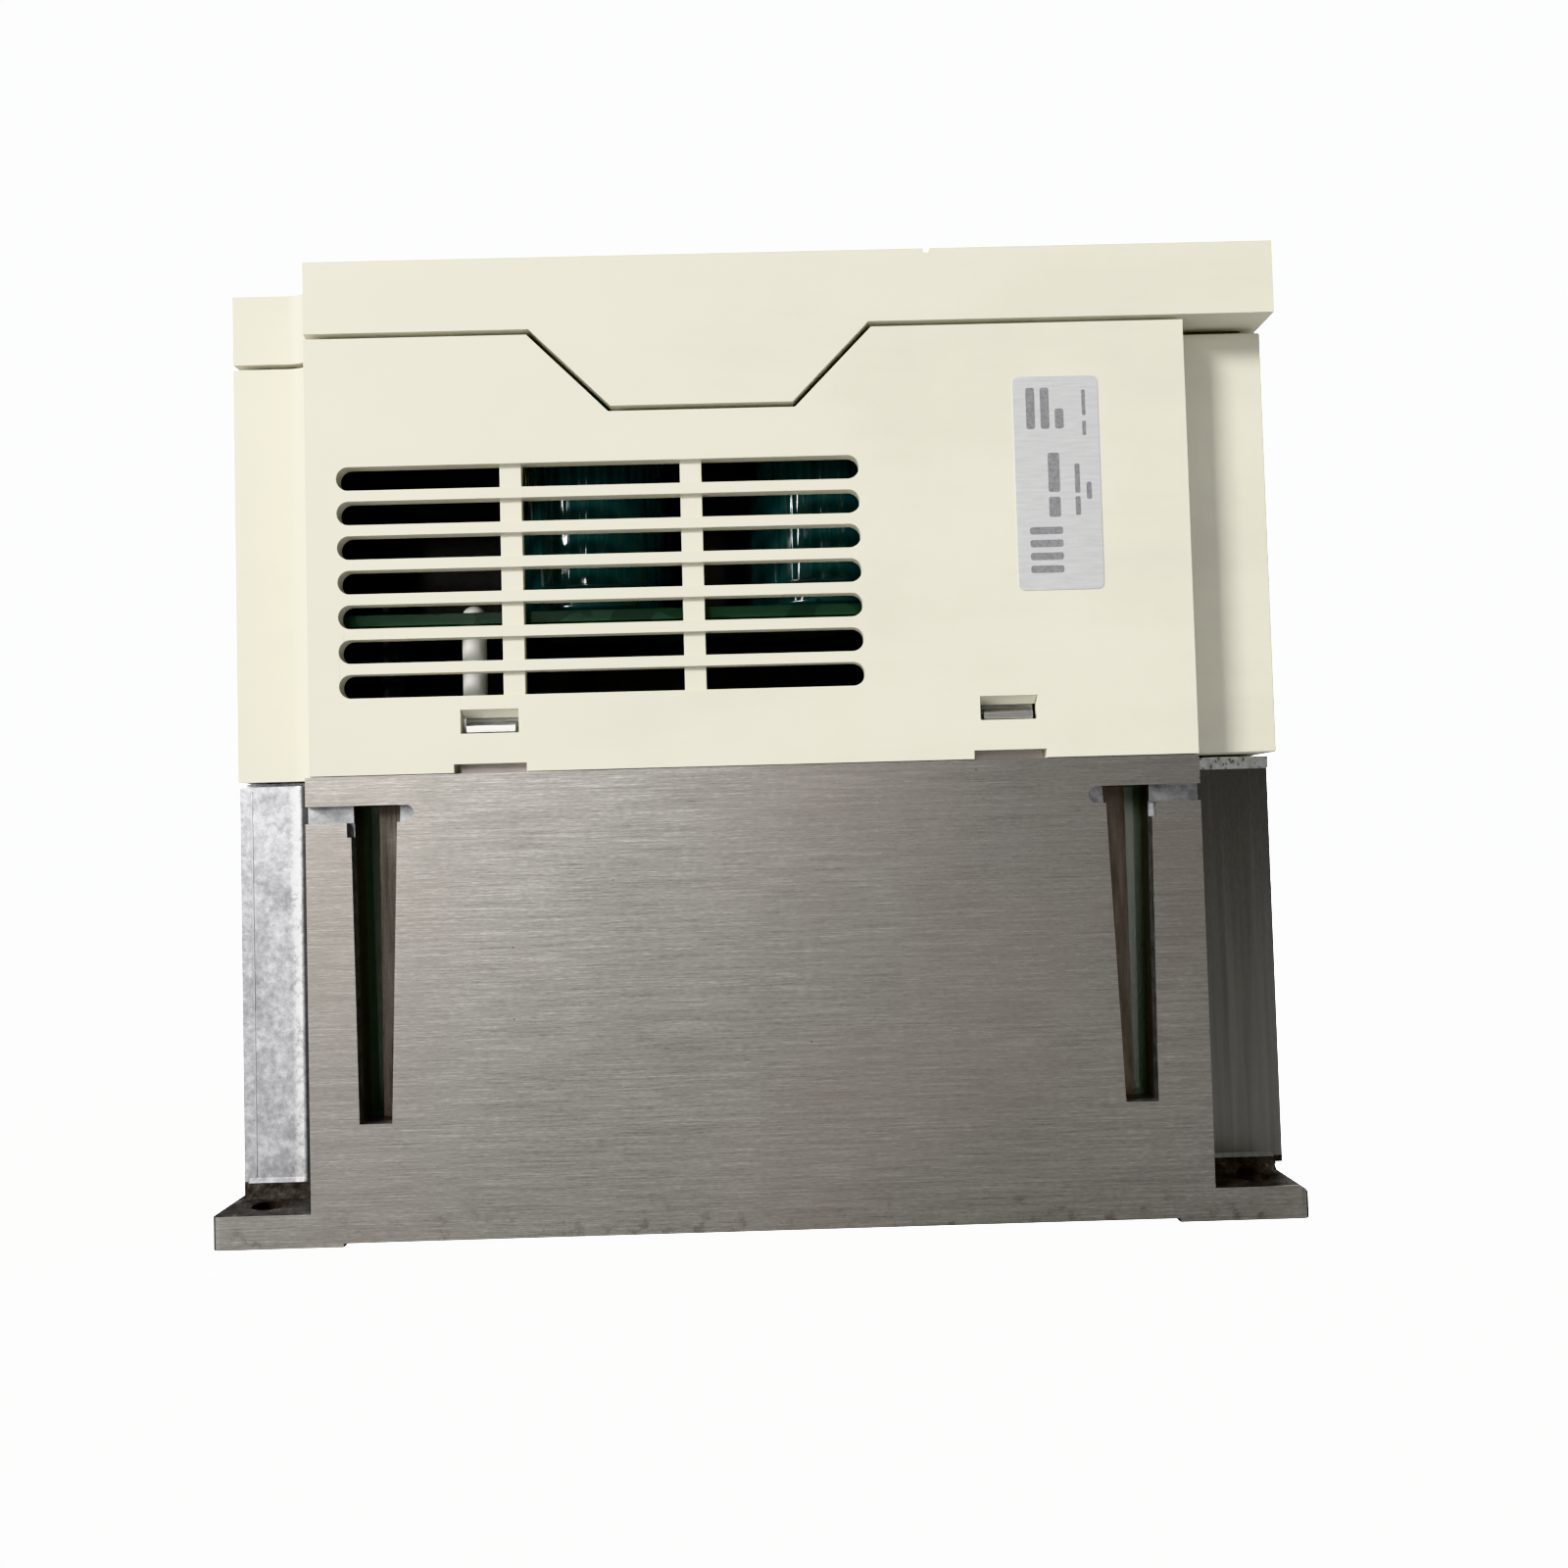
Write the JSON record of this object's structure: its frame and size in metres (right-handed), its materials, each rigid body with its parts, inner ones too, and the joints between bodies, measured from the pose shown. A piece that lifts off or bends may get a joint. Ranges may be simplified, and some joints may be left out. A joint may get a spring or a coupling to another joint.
{
  "type": "variable frequency drive",
  "caption": "Compact wall-mounted motor drive: finned die-cast heatsink with fans, vented cream casing, lift-off covers, and an operation panel with sprung keys.",
  "frame": {"origin": "centre of the mounting face, where the mounting flange's pads meet the wall or the table", "axes": "+Z out of the front cover, +X towards the wiring end (the bottom end when mounted), -X towards the fan end, Y across the width"},
  "size_m": [0.15, 0.1402, 0.136],
  "materials": {
    "cast_aluminium": "machined side plates over raw die cast ends",
    "cream_plastic": "fine-textured moulded plastic",
    "label_foil": "printed grey foil label",
    "circuit_board": "solder mask over glass fibre",
    "nylon": "natural nylon",
    "connector_plastic": "moulded connector body",
    "steel": "zinc plated",
    "earth_green": "green passivated",
    "capacitor_sleeve": "heat-shrunk sleeve",
    "black_plastic": "black moulded plastic",
    "panel_plastic": "fine-textured dark grey plastic",
    "thermal_pad": "soft heat-conducting pad",
    "relay_blue": "moulded blue plastic",
    "ferrite_winding": "ferrite core and taped winding",
    "copper": "bare and enamelled copper",
    "brass": "turned brass",
    "lamp": "translucent lamp",
    "cable_grey": "ribbon cable insulation",
    "lead_red": "lead insulation",
    "terminal_green": "moulded terminal block",
    "display": "segment display",
    "key_grey": "moulded key",
    "key_green": "moulded key",
    "key_red": "moulded key",
    "display_glass": "tinted clear window"
  },
  "bodies": {
    "root": {"heatsink": "cast_aluminium", "case": "cream_plastic", "case_clips": "steel", "side_label": "label_foil", "rating_label": "label_foil", "power_board": "circuit_board", "board_posts": "nylon", "board_screws": "steel", "bus_capacitor_1": "capacitor_sleeve", "bus_capacitor_2": "capacitor_sleeve", "insulating_frame": "black_plastic", "insulating_sheet": "black_plastic", "power_module": "black_plastic", "rectifier": "black_plastic", "thermal_pads": "thermal_pad", "inrush_relay": "relay_blue", "transformer": "ferrite_winding", "filter_choke": "copper", "film_capacitors": "relay_blue", "current_sensors": "black_plastic", "bus_bars": "copper", "power_terminal_block": "black_plastic", "power_terminal_screws": "steel", "earth_screws": "earth_green", "charge_lamp": "lamp", "header_connectors": "connector_plastic", "ribbon_cable": "cable_grey", "fan_plugs": "connector_plastic", "fan_leads": "lead_red", "fan_frame_1": "black_plastic", "fan_frame_2": "black_plastic", "fan_screws": "steel", "control_board": "circuit_board", "control_standoffs": "brass", "control_chips": "black_plastic", "control_terminal_block": "terminal_green", "control_terminal_screws": "steel", "panel_socket": "black_plastic"},
    "fan_rotor_1": {"fan_rotor_1": "black_plastic"},
    "fan_rotor_2": {"fan_rotor_2": "black_plastic"},
    "fan_cover": {"fan_cover": "cream_plastic"},
    "wiring_cover": {"wiring_cover": "cream_plastic", "wiring_latches": "cream_plastic"},
    "front_cover": {"front_cover": "cream_plastic", "panel_tray": "cream_plastic"},
    "operation_panel": {"panel_case": "panel_plastic", "panel_back": "panel_plastic", "panel_board": "circuit_board", "panel_plug": "black_plastic", "key_switches": "steel", "digit_display": "display", "display_window": "display_glass", "panel_lamps": "lamp"},
    "key_mode": {"key_mode": "key_grey"},
    "key_set": {"key_set": "key_grey"},
    "key_up": {"key_up": "key_grey"},
    "key_down": {"key_down": "key_grey"},
    "key_forward": {"key_forward": "key_green"},
    "key_reverse": {"key_reverse": "key_green"},
    "key_stop": {"key_stop": "key_red"}
  },
  "joints": [
    {"name": "fan_1_spin", "type": "hinge", "parent": "root", "child": "fan_rotor_1", "pos_m": [-0.0655, -0.0265, 0.031], "axis": [1, 0, 0], "continuous": true},
    {"name": "fan_2_spin", "type": "hinge", "parent": "root", "child": "fan_rotor_2", "pos_m": [-0.0655, 0.0265, 0.031], "axis": [1, 0, 0], "continuous": true},
    {"name": "fan_cover_off", "type": "slide", "parent": "root", "child": "fan_cover", "axis": [-1, 0, 0], "range_m": [0, 0.03]},
    {"name": "wiring_cover_off", "type": "slide", "parent": "root", "child": "wiring_cover", "axis": [1, 0, 0], "range_m": [0, 0.03]},
    {"name": "front_cover_off", "type": "slide", "parent": "root", "child": "front_cover", "axis": [0, 0, 1], "range_m": [0, 0.05]},
    {"name": "panel_off", "type": "slide", "parent": "front_cover", "child": "operation_panel", "axis": [0, 0, 1], "range_m": [0, 0.03]},
    {"name": "key_mode_press", "type": "slide", "parent": "operation_panel", "child": "key_mode", "axis": [0, 0, 1], "range_m": [-0.0008, 0], "stiffness_N_per_m": 300, "springref_m": 0.001},
    {"name": "key_set_press", "type": "slide", "parent": "operation_panel", "child": "key_set", "axis": [0, 0, 1], "range_m": [-0.0008, 0], "stiffness_N_per_m": 300, "springref_m": 0.001},
    {"name": "key_up_press", "type": "slide", "parent": "operation_panel", "child": "key_up", "axis": [0, 0, 1], "range_m": [-0.0008, 0], "stiffness_N_per_m": 300, "springref_m": 0.001},
    {"name": "key_down_press", "type": "slide", "parent": "operation_panel", "child": "key_down", "axis": [0, 0, 1], "range_m": [-0.0008, 0], "stiffness_N_per_m": 300, "springref_m": 0.001},
    {"name": "key_forward_press", "type": "slide", "parent": "operation_panel", "child": "key_forward", "axis": [0, 0, 1], "range_m": [-0.0008, 0], "stiffness_N_per_m": 300, "springref_m": 0.001},
    {"name": "key_reverse_press", "type": "slide", "parent": "operation_panel", "child": "key_reverse", "axis": [0, 0, 1], "range_m": [-0.0008, 0], "stiffness_N_per_m": 300, "springref_m": 0.001},
    {"name": "key_stop_press", "type": "slide", "parent": "operation_panel", "child": "key_stop", "axis": [0, 0, 1], "range_m": [-0.0008, 0], "stiffness_N_per_m": 300, "springref_m": 0.001}
  ]
}
